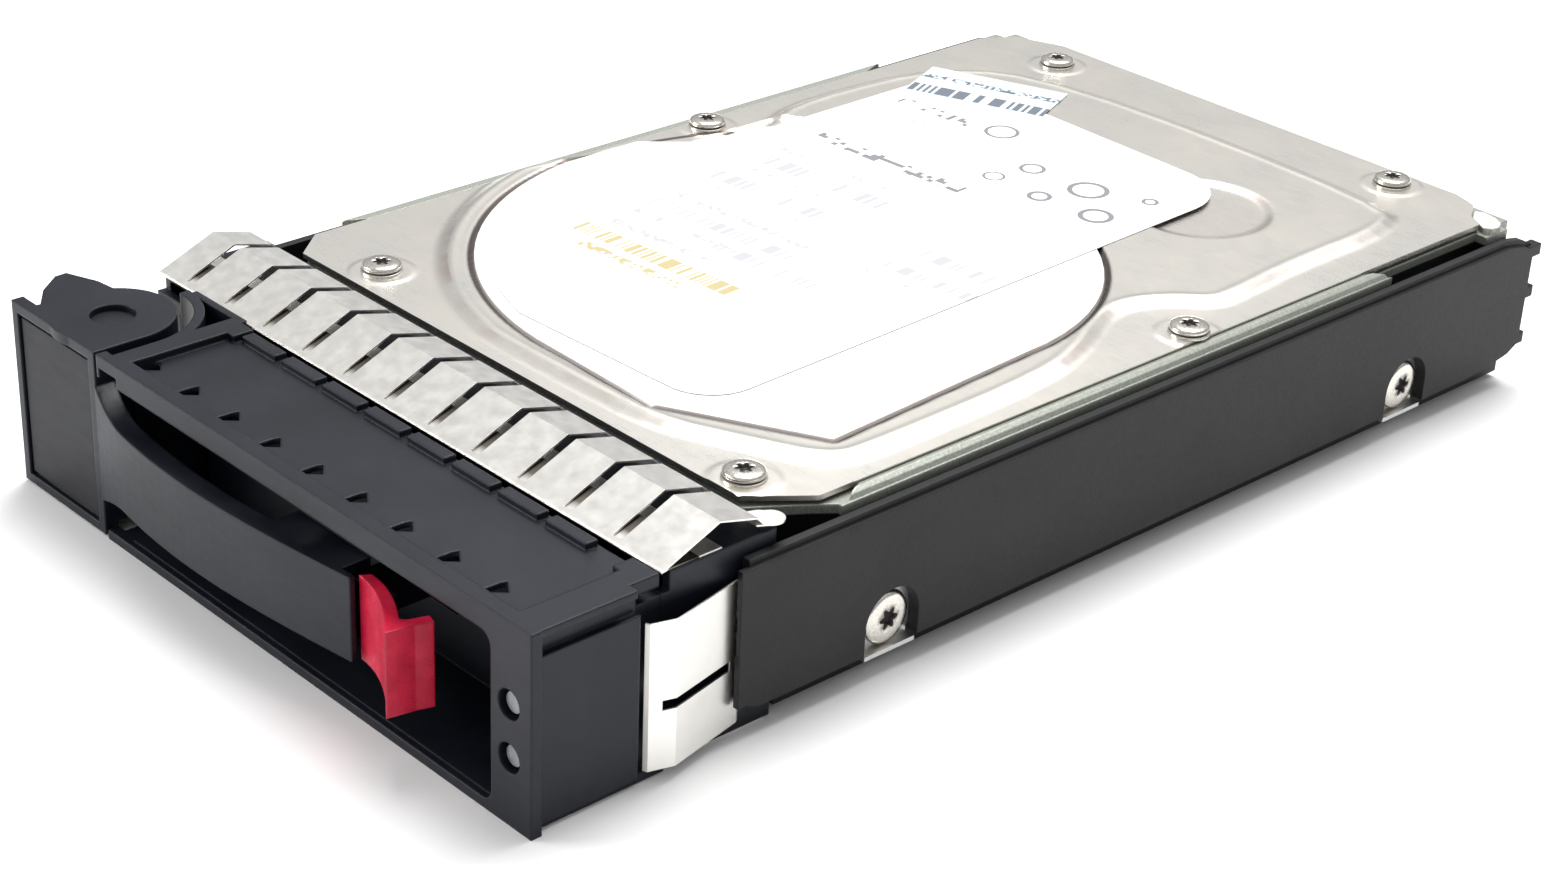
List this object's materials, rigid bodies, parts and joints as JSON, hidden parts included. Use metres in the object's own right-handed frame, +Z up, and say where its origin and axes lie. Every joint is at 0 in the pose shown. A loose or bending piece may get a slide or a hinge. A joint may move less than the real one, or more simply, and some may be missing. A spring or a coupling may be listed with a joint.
{
  "type": "hard disk drive in hot-swap carrier",
  "caption": "Hard disk drive in a slide-in server carrier with an ejector lever, release button, spring-finger shield, side rails and working disc mechanism.",
  "frame": {"origin": "on the table under the middle of the whole box", "axes": "+X to the right seen from the front, +Y from the bezel to the host connector, +Z up"},
  "size_m": [0.111, 0.1908, 0.0291],
  "materials": {
    "bezel_plastic": "satin moulded",
    "label_plate_plastic": "fine matt",
    "rail_plastic": "matt moulded",
    "red_plastic": "satin",
    "spring_steel": "bright rolled",
    "frame_steel": "zinc plated",
    "screw_steel": "nickel plated",
    "clear_plastic": "clear",
    "pin_steel": "ground",
    "wire_steel": "drawn",
    "cast_aluminium": "cast, grey coat",
    "gasket_rubber": "matt",
    "cover_stainless": "rolled, satin",
    "damper_steel": "fine satin",
    "label_film": "satin film",
    "silver_film": "silvered film",
    "lamination_steel": "stacked sheet",
    "copper_wire": "enamelled copper",
    "machined_aluminium": "machined",
    "magnet_nickel": "nickel plated",
    "disc_mirror": "mirror",
    "suspension_steel": "etched",
    "slider_ceramic": "lapped",
    "yoke_steel": "plated",
    "ramp_polymer": "satin",
    "bracket_steel": "plain",
    "polyimide": "film",
    "filter_cloth": "woven",
    "filter_housing": "matt",
    "board_laminate": "solder mask",
    "chip_epoxy": "matt",
    "connector_plastic": "matt",
    "foam_sheet": "foam"
  },
  "bodies": {
    "chassis": {"bezel": "bezel_plastic", "shield_neck": "bezel_plastic", "left_rail": "rail_plastic", "right_rail": "rail_plastic", "carrier_frame": "frame_steel", "side_screws": "screw_steel", "emi_top_fingers": "spring_steel", "emi_left_panel": "spring_steel", "emi_right_panel": "spring_steel", "emi_bottom_panel": "spring_steel", "light_pipe_upper": "clear_plastic", "light_pipe_lower": "clear_plastic", "lever_pivot_pin": "pin_steel", "lever_spring": "wire_steel", "button_spring": "wire_steel", "base_casting": "cast_aluminium", "cover_gasket": "gasket_rubber", "top_cover": "cover_stainless", "cover_screws": "screw_steel", "damper_plate": "damper_steel", "main_label": "label_film", "asset_sticker": "silver_film", "spindle_shaft": "pin_steel", "stator_core": "lamination_steel", "stator_coils": "copper_wire", "pivot_shaft": "pin_steel", "lower_yoke": "yoke_steel", "upper_yoke": "yoke_steel", "lower_magnet": "magnet_nickel", "upper_magnet": "magnet_nickel", "yoke_posts": "screw_steel", "parking_ramp": "ramp_polymer", "crash_stops": "gasket_rubber", "flex_bracket": "bracket_steel", "flex_cable": "polyimide", "recirculation_filter": "filter_cloth", "breather_filter": "filter_housing", "circuit_board": "board_laminate", "board_chips": "chip_epoxy", "host_connector": "connector_plastic", "board_screws": "screw_steel", "board_insulator": "foam_sheet"},
    "lever": {"lever": "bezel_plastic", "label_plate": "label_plate_plastic"},
    "button": {"release_button": "red_plastic", "release_latch": "bezel_plastic"},
    "disc_pack": {"spindle_hub": "machined_aluminium", "rotor_magnet": "magnet_nickel", "discs": "disc_mirror", "spacer_rings": "machined_aluminium", "disc_clamp": "machined_aluminium", "clamp_screws": "screw_steel"},
    "actuator": {"arm_block": "machined_aluminium", "pivot_bearing": "pin_steel", "voice_coil": "copper_wire", "suspensions": "suspension_steel", "head_sliders": "slider_ceramic"}
  },
  "joints": [
    {"name": "lever_swing", "type": "hinge", "parent": "chassis", "child": "lever", "pos_m": [-0.0408, -0.0831, 0.013], "axis": [0, 0, -1], "range_deg": [0, 45]},
    {"name": "release_press", "type": "slide", "parent": "lever", "child": "button", "axis": [-1, 0, 0], "range_m": [0, 0.002], "stiffness_N_per_m": 400},
    {"name": "spindle_spin", "type": "hinge", "parent": "chassis", "child": "disc_pack", "pos_m": [0.0012, 0.0021, 0.015], "axis": [0, 0, 1], "continuous": true},
    {"name": "actuator_swing", "type": "hinge", "parent": "chassis", "child": "actuator", "pos_m": [0.0222, 0.0563, 0.015], "axis": [0, 0, 1], "range_deg": [0, 33]}
  ]
}
